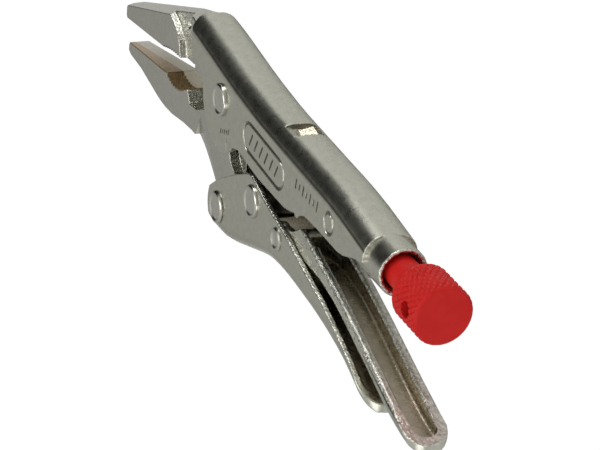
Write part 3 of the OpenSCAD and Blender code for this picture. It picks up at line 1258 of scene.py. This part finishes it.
@dataclass
class OpenChannel:
    """What the two lower channels share: a rolled underside, a round rear end and an open top."""

    half: float
    sheet: float
    roll: float
    end: float
    crown: tuple[Point, ...]

    def outline(self) -> list[Point]:
        """Side outline of the cheeks."""
        raise NotImplementedError

    def hollow_body(self, outer_span: Point, inner_span: Point, front: float, floor: float) -> Mesh:
        """The trimmed channel, hollowed from above.

        Args:
            outer_span: Where the outer block starts and ends.
            inner_span: Where the hollow starts and ends.
            front: Front end of the plans.
            floor: Thickness under the hollow.

        Returns:
            The channel.
        """
        line, wall = smooth_line(self.crown), self.half - self.sheet
        outer = crowned_block(line, outer_span, -6, self.half, self.roll, -1)
        plan = plan_slab(round_plan(front, self.end, self.half), -70, 0)
        outer = trim(outer, plan, slab(self.outline(), -12, 12))
        inner = crowned_block(lambda x: line(x) - floor, inner_span, -5, wall, self.roll - self.sheet, -1)
        plan = plan_slab(round_plan(front, self.end - self.sheet, wall), -70, 2)
        return cut(outer, trim(inner, plan))

    def dress_inside(self, channel: bpy.types.Object, finishes: Finishes) -> None:
        """Gives the hollow a darker, browner colour: painted shade inside the channel.

        Args:
            channel: The finished piece.
            finishes: The tool's materials.
        """
        wall, rear = self.half - self.sheet, self.end - self.sheet
        dress(channel, finishes.inside, lambda co, n: inside_channel(co, n, wall, rear))


@dataclass
class LowerHandle(OpenChannel):
    """The lower channel, open towards the upper handle."""

    half: float = 7.9
    sheet: float = 1.6
    roll: float = 5.0
    end: float = 113.6
    crown: tuple[Point, ...] = (
        (-12, 40.9), (8, 40.4), (14, 39.2), (29, 34.7), (41, 31.4), (52, 30.4), (66, 30.9), (81, 32.3),
        (96, 35.1), (106, 38.6), (120, 44.3),
    )

    def outline(self) -> list[Point]:
        """Side outline of the cheeks."""
        return (
            arc((JAW_PIN.x, JAW_PIN.y), 8.3, 300, 158, 24)
            + [(-4.4, -28.6), (-0.4, -25.6), (4, -22.6), (10, -19.4), (16, -16.2), (23, -12.9), (25.6, -11.8)]
            + [(27.6, -11.8), (32, -12.9), (38, -14.7), (44, -15.9), (50, -17), (56, -18.1), (62, -19.8)]
            + [(74, -22.8), (81, -24.3), (89, -26.8), (96, -29.2), (103, -31.8), (107, -34), (110.4, -37)]
            + [(114.5, -39.8), (116, -60), (8, -60), (8, -39.6)]
        )

    def build(self, finishes: Finishes) -> list[bpy.types.Object]:
        """Builds and dresses the handle.

        Args:
            finishes: The tool's materials.

        Returns:
            The pieces.
        """
        wall = self.half - self.sheet
        throat = [(-20, -60), (14, -60), (14, 2), (-20, 2)]
        bm = cut(self.hollow_body((-11, 118), (7, 119), -20, self.sheet), slab(throat, -wall, wall))
        break_edges(bm, 0.42, 3, tidy=True)
        channel = place(bm, "lower_channel", Body.LOWER, Slot.PLATED, finishes.nickel, "lower_handle")
        rim = self.outline()[25:-5]
        # painted shade inside the hollow
        self.dress_inside(channel, finishes)
        # painted highlight along the rounded rim
        dress(channel, finishes.sheared_and_highlit, lambda co, n: abs(n.z) < 0.8 and near_line(rim, co.x, co.y) < 0.55)
        return [channel]


@dataclass
class ReleaseLever(OpenChannel):
    """The narrow channel nested in the lower handle."""

    half: float = 6.2
    sheet: float = 2.9
    roll: float = 4.0
    end: float = 139.5
    crown: tuple[Point, ...] = (
        (40, 27.4), (50, 26.8), (60, 25.0), (72, 23.4), (85, 25.1), (95, 27.9), (105, 31.2), (115, 34.4),
        (125, 37.3), (132, 38.7), (136, 39.1), (140, 38.8), (146, 38.0),
    )
    gap: float = 9.1
    bottom: float = 1.5

    def outline(self) -> list[Point]:
        """Side outline of the cheeks."""
        return (
            [(143.5, -37.8), (137, -35.8), (132, -34.1), (125, -31.7), (115, -28.5), (105, -25.3)]
            + [(95, -22.1), (85, -19.2), (74, -16.6), (63, -13.5), (60.6, -13.0), (59.0, -13.8), (55, -16.2)]
            + arc((LEVER_PIN.x, LEVER_PIN.y), 4.8, 70, 118, 6)
            + [(43.2, -18.5), (40.8, -19.6), (40.2, -21.4), (41.2, -23.4), (44.0, -25.8), (50, -28)]
            + [(60, -40), (143.5, -60)]
        )

    def build(self, finishes: Finishes) -> list[bpy.types.Object]:
        """Builds and dresses the lever.

        Args:
            finishes: The tool's materials.

        Returns:
            The pieces.
        """
        throat = [(30, -60), (57, -60), (57, -20), (68, -20), (68, 2), (30, 2)]
        bm = self.hollow_body((38, 144), (36, 146), 30, self.bottom)
        bm = cut(bm, slab(throat, -self.gap / 2, self.gap / 2))
        rim = self.outline()[:13]
        break_edges(bm, 1.15, 6, keep=lambda co: co.x < 72 or near_line(rim, co.x, co.y) > 0.3)
        break_edges(bm, 0.4, 3, 40)
        channel = place(bm, "release_channel", Body.LEVER, Slot.PLATED, finishes.nickel, "release_lever")
        # painted shade inside the hollow
        self.dress_inside(channel, finishes)
        # painted highlight along the rounded rim
        dress(channel, finishes.sheared_and_highlit, lambda co, n: n.y > 0.05 and near_line(rim, co.x, co.y) < 1.3)
        return [channel]


@dataclass
class Rivet:
    """A pressed rivet: shank and two heads with a shallow dish."""

    name: str
    node: str
    pin: Vector
    seat: float
    head_r: float
    shank_r: float
    body: Body

    def build(self, finishes: Finishes) -> list[bpy.types.Object]:
        """Builds and dresses the rivet.

        Args:
            finishes: The tool's materials.

        Returns:
            The pieces.
        """
        low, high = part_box(self.node)
        top = (high[2] - low[2]) / (2 * MM)
        r = self.head_r
        head: list[Point] = [
            (top - 0.42, 0), (top - 0.42, r - 1.55), (top - 0.36, r - 1.3), (top - 0.05, r - 0.95),
            (top, r - 0.75), (top - 0.08, r - 0.45), (top - 0.35, r - 0.14), (self.seat + 0.25, r),
            (self.seat, r - 0.06), (self.seat, self.shank_r),
        ]
        profile = [(-a, b) for a, b in head] + list(reversed(head))
        bm = lathe(profile, "Z", (self.pin.x, self.pin.y, 0), 64)
        return [place(bm, self.name, self.body, Slot.RIVET, finishes.rivet, self.node, 40)]


@dataclass
class ToggleLink:
    """The hidden bar from the toggle rivet to the screw's tip."""

    half: float = 4.2
    depth: float = 7.0
    eye: float = 5.4
    rear: Point = (68.0, -1.8)

    def build(self, finishes: Finishes) -> list[bpy.types.Object]:
        """Builds and dresses the link.

        Args:
            finishes: The tool's materials.

        Returns:
            The pieces.
        """
        dx, dy = self.rear[0] - LINK_PIN.x, self.rear[1] - LINK_PIN.y
        length, slope = math.hypot(dx, dy), math.atan2(dy, dx)
        r = self.depth / 2
        bend = math.degrees(math.asin(r / self.eye))
        shape = arc((0, 0), self.eye, bend, 360 - bend, 40) + arc((length, 0), r, -90, 90, 20)
        bm = cut(slab(shape, -self.half, self.half), pin_tool((0, 0), 3.05))
        break_edges(bm, 0.45, 3)
        turn(bm, slope, "Z")
        shift(bm, (LINK_PIN.x, LINK_PIN.y, 0))
        return [place(bm, "toggle_bar", Body.LINK, Slot.DARK, finishes.dark, "toggle_link")]


def coil(bm: Mesh, section: Sequence[object], pitch: float, turns: int, facets: int) -> None:
    """Sweeps a closed section round the long axis as a coil, and caps its ends.

    Args:
        bm: The mesh that holds the section.
        section: The section's vertices and edges.
        pitch: Advance in one turn.
        turns: Number of turns.
        facets: Segments in one turn.
    """
    bmesh.ops.spin(
        bm, geom=section, cent=(0, 0, 0), axis=(1, 0, 0), dvec=(pitch / facets, 0, 0),
        angle=2 * math.pi * turns, steps=turns * facets, use_merge=False,
    )
    bmesh.ops.holes_fill(bm, edges=[e for e in bm.edges if e.is_boundary], sides=12)


@dataclass
class AdjustingScrew:
    """The threaded shaft inside the collar."""

    root_r: float = 3.45
    crest_r: float = 3.98
    pitch: float = 1.5

    def build(self, finishes: Finishes) -> list[bpy.types.Object]:
        """Builds and dresses the shaft.

        Args:
            finishes: The tool's materials.

        Returns:
            The pieces.
        """
        low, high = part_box("screw_shaft")
        x0, x1 = low[0] / MM, high[0] / MM
        r = self.root_r
        section = [(x0, 0), (x0, r - 1.2), (x0 + 0.3, r - 0.7), (x0 + 1.4, r)]
        section += [(x1 - 0.5, r), (x1, r - 0.5), (x1, 0)]
        core = lathe(section, "X", (0, SCREW_Y, 0), 48)
        pieces = [place(core, "screw_core", Body.SCREW, Slot.SCREW, finishes.zinc, "screw_shaft")]
        bm = bmesh.new()
        shape = [(0, r - 0.1), (self.pitch * 0.42, self.crest_r)]
        shape += [(self.pitch * 0.52, self.crest_r), (self.pitch * 0.94, r - 0.1)]
        verts = [bm.verts.new((x0 + 2 + a, b, 0)) for a, b in shape]
        edges = [bm.edges.new((verts[i], verts[(i + 1) % 4])) for i in range(4)]
        turns = int((x1 - x0 - 4.5) / self.pitch)
        coil(bm, verts + edges, self.pitch, turns, 32)
        shift(bm, (0, SCREW_Y, 0))
        bmesh.ops.recalc_face_normals(bm, faces=bm.faces)
        pieces.append(place(bm, "screw_thread", Body.SCREW, Slot.SCREW, finishes.zinc, "screw_shaft"))
        return pieces


@dataclass
class AdjustingKnob:
    """The red knob with its neck, diamond knurl and cross hole."""

    radius: float = 8.15
    neck: float = 4.5
    front: float = 110.4
    end: float = 137.5
    hole_r: float = 2.25
    hole_in: float = 5.8
    diamonds: int = 26
    knurl_depth: float = 0.34
    bore_r: float = 4.05
    bore_end: float = 127.2

    def profile(self) -> list[Point]:
        """Half section of the knob, with close rows where it is knurled."""
        r, n, end = self.radius, self.neck, self.end
        points: list[Point] = [
            (self.front, 0), (self.front, n - 0.4), (self.front + 0.3, n), (118.0, n), (119.0, n + 0.2),
            (119.9, n + 0.7), (121.0, n + 1.6), (122.0, r - 1.35), (123.0, r - 0.55), (123.8, r - 0.14),
        ]
        rows = 52
        points += [(124.2 + (end - 0.9 - 124.2) * i / rows, r) for i in range(rows + 1)]
        return points + [(end - 0.75, r - 0.1), (end - 0.12, r - 0.72), (end, r - 0.9), (end, 0)]

    def knurl(self, bm: Mesh) -> None:
        """Presses two crossing sets of grooves into the round side.

        Args:
            bm: The turned knob, about the screw's axis.
        """
        pitch = 2 * math.pi * self.radius / self.diamonds
        for v in bm.verts:
            off = math.hypot(v.co.y - SCREW_Y, v.co.z)
            if off < self.radius - 0.2 or v.co.x > self.end - 0.85:
                continue
            around = math.atan2(v.co.z, v.co.y - SCREW_Y) * self.diamonds / 2
            along = math.pi * v.co.x / (pitch * 1.25)
            ridge = min(abs(math.sin(around + along)), abs(math.sin(around - along)))
            fade = min(1.0, max(0.0, (v.co.x - 123.4) / 1.2))
            scale = 1 - self.knurl_depth * (1 - min(ridge * 1.9, 1.0)) * fade / off
            v.co.y = SCREW_Y + (v.co.y - SCREW_Y) * scale
            v.co.z *= scale

    def build(self, finishes: Finishes) -> list[bpy.types.Object]:
        """Builds and dresses the knob.

        Args:
            finishes: The tool's materials.

        Returns:
            The pieces.
        """
        bm = lathe(self.profile(), "X", (0, SCREW_Y, 0), self.diamonds * 10)
        self.knurl(bm)
        depth, r = self.bore_end, self.bore_r
        bore = lathe([(100, 0), (100, r), (depth, r), (depth, 0)], "X", (0, SCREW_Y, 0), 64)
        bm = cut(bm, bore, pin_tool((self.end - self.hole_in, SCREW_Y), self.hole_r, reach=12.0))
        return [place(bm, "knob_head", Body.KNOB, Slot.RED, finishes.red, "adjusting_knob", 50)]


@dataclass
class TensionSpring:
    """The coil spring from the moving jaw's eye to the notch in the back."""

    eye: Point = (7.4, -12.6)
    anchor: Point = (43.2, 4.0)
    coil_r: float = 2.2
    wire_r: float = 0.52
    pitch: float = 1.25
    lead: float = 9.5

    def build(self, finishes: Finishes) -> list[bpy.types.Object]:
        """Builds and dresses the spring.

        Args:
            finishes: The tool's materials.

        Returns:
            The pieces.
        """
        dx, dy = self.anchor[0] - self.eye[0], self.anchor[1] - self.eye[1]
        length, slope = math.hypot(dx, dy), math.atan2(dy, dx)
        bm = bmesh.new()
        ring = bmesh.ops.create_circle(bm, segments=10, radius=self.wire_r)["verts"]
        turn(bm, math.radians(90), "X", ring)
        shift(bm, (self.lead, 0, self.coil_r), ring)
        turns = int((length - 18) / self.pitch)
        coil(bm, ring + list({e for v in ring for e in v.link_edges}), self.pitch, turns, 20)
        for x0, x1 in ((0.6, self.lead + 0.1), (self.lead - 0.1 + self.pitch * turns, length - 0.4)):
            rod = bmesh.ops.create_cone(
                bm, cap_ends=True, segments=10, radius1=self.wire_r, radius2=self.wire_r, depth=x1 - x0
            )["verts"]
            turn(bm, math.radians(90), "Y", rod)
            shift(bm, ((x0 + x1) / 2, 0, 0), rod)
        turn(bm, slope, "Z")
        shift(bm, (self.eye[0], self.eye[1], 0))
        bmesh.ops.recalc_face_normals(bm, faces=bm.faces)
        return [place(bm, "coil_spring", Body.UPPER, Slot.DARK, finishes.dark, "tension_spring")]


# ---------------------------------------------------------------- studio


@dataclass
class Studio:
    """Pale floor, soft lights and the camera."""

    eye: tuple[float, float, float] = (0.6454, 0.2830, 0.2739)
    aim: tuple[float, float, float] = (0.0460, -0.0191, 0.0088)
    up: tuple[float, float, float] = (-0.417, 0.905, -0.088)
    lens: float = 157.1

    def camera(self) -> None:
        """Places the camera behind the knob, to the left and above."""
        data = bpy.data.cameras.new("camera")
        data.lens = self.lens
        data.sensor_width = 36.0
        data.clip_start = 0.01
        data.clip_end = 50.0
        back = (Vector(self.eye) - Vector(self.aim)).normalized()
        right = Vector(self.up).cross(back).normalized()
        up = back.cross(right)
        matrix = Matrix((right, up, back)).transposed().to_4x4()
        matrix.translation = Vector(self.eye)
        obj = bpy.data.objects.new("camera", data)
        obj.matrix_world = matrix
        bpy.context.scene.collection.objects.link(obj)
        bpy.context.scene.camera = obj

    def floor(self) -> None:
        """Lays the pale floor."""
        bm = bmesh.new()
        bmesh.ops.create_grid(bm, x_segments=1, y_segments=1, size=3.0)
        mesh = bpy.data.meshes.new("floor")
        bm.to_mesh(mesh)
        bm.free()
        material = bpy.data.materials.new("pale_floor")
        material.use_nodes = True
        board = NodeBoard(material.node_tree)
        shader = material.node_tree.nodes["Principled BSDF"]
        shader.inputs["Base Color"].default_value = (0.86, 0.86, 0.855, 1)
        shader.inputs["Roughness"].default_value = 0.9
        glow = board.add("ShaderNodeEmission", Strength=1.06)
        path = board.add("ShaderNodeLightPath")
        mix = board.add("ShaderNodeMixShader")
        out = material.node_tree.nodes["Material Output"]
        board.link(board.math("MULTIPLY", path.outputs["Is Camera Ray"], 0.94), mix.inputs["Fac"])
        board.link(shader.outputs["BSDF"], mix.inputs[1])
        board.link(glow.outputs["Emission"], mix.inputs[2])
        board.link(mix.outputs["Shader"], out.inputs["Surface"])
        mesh.materials.append(material)
        obj = bpy.data.objects.new("floor", mesh)
        bpy.context.scene.collection.objects.link(obj)

    def world(self) -> None:
        """A soft grey room with one dark wall beyond the jaws."""
        world = bpy.data.worlds.new("room")
        world.use_nodes = True
        board = NodeBoard(world.node_tree)
        background = world.node_tree.nodes["Background"]
        coords = board.add("ShaderNodeTexCoord")
        split = board.add("ShaderNodeSeparateXYZ")
        board.link(coords.outputs["Generated"], split.inputs[0])
        dot = board.add("ShaderNodeVectorMath", operation="DOT_PRODUCT")
        board.link(coords.outputs["Generated"], dot.inputs[0])
        dot.inputs[1].default_value = Vector((-0.83, 0.35, 0.42)).normalized()
        ramps = []
        wall, sky = (0.78, 0.95, 1.0, 0.0), (0.0, 1.0, 0.30, 0.55)
        for source, values in ((dot.outputs["Value"], wall), (split.outputs[2], sky)):
            ramp = board.add("ShaderNodeMapRange", interpolation_type="SMOOTHSTEP")
            board.link(source, ramp.inputs["Value"])
            for key, value in zip(("From Min", "From Max", "To Min", "To Max"), values):
                ramp.inputs[key].default_value = value
            ramps.append(ramp.outputs["Result"])
        board.link(board.math("MULTIPLY", *ramps), background.inputs["Strength"])
        background.inputs["Color"].default_value = (1.0, 0.99, 0.965, 1)
        bpy.context.scene.world = world

    def lamp(self, name: str, at: Sequence[float], to: Sequence[float], size: float, power: float) -> None:
        """Adds a soft square lamp.

        Args:
            name: Name of the lamp.
            at: Where it stands, in metres.
            to: What it points at.
            size: Side of the square.
            power: Power in watts.
        """
        data = bpy.data.lights.new(name, "AREA")
        data.size = size
        data.energy = power
        obj = bpy.data.objects.new(name, data)
        obj.location = at
        obj.rotation_euler = (Vector(to) - Vector(at)).to_track_quat("-Z", "Y").to_euler()
        bpy.context.scene.collection.objects.link(obj)

    def build(self) -> None:
        """Sets up the whole studio."""
        self.camera()
        self.floor()
        self.world()
        self.lamp("overhead", (0.15, 0.1, 0.9), (0.02, 0, 0), 0.5, 1.6)
        self.lamp("beside_the_back", (-0.2, 0.75, 0.16), (0.02, 0, 0), 0.3, 1.6)
        self.lamp("from_behind", (0.9, -0.35, 0.5), (0.08, 0, 0), 0.5, 1.5)
        view = bpy.context.scene.view_settings
        view.view_transform = "Standard"
        view.look = "None"


def main() -> None:
    """Builds every sub-assembly in order and reports its pieces."""
    logging.basicConfig(level=logging.INFO, format="%(message)s")
    finishes = Finishes.build()
    assemblies: list[object] = [
        UpperHandle(),
        FixedJaw(),
        MovingJaw(),
        LowerHandle(),
        ReleaseLever(),
        Rivet("main_rivet_turned", "main_rivet", MAIN, 7.7, 4.9, 3.0, Body.UPPER),
        Rivet("jaw_rivet_turned", "jaw_rivet", JAW_PIN, 8.0, 4.9, 3.0, Body.JAW),
        Rivet("toggle_rivet_turned", "toggle_rivet", LINK_PIN, 7.9, 4.9, 3.0, Body.LOWER),
        Rivet("release_rivet_turned", "release_rivet", LEVER_PIN, 7.9, 3.45, 2.0, Body.LOWER),
        ToggleLink(),
        AdjustingScrew(),
        AdjustingKnob(),
        TensionSpring(),
    ]
    for assembly in assemblies:
        for piece in assembly.build(finishes):
            LOG.info("%s: %s, %d faces", type(assembly).__name__, piece.name, len(piece.data.polygons))
    Studio().build()
    bpy.context.view_layer.update()


if __name__ == "__main__":
    main()
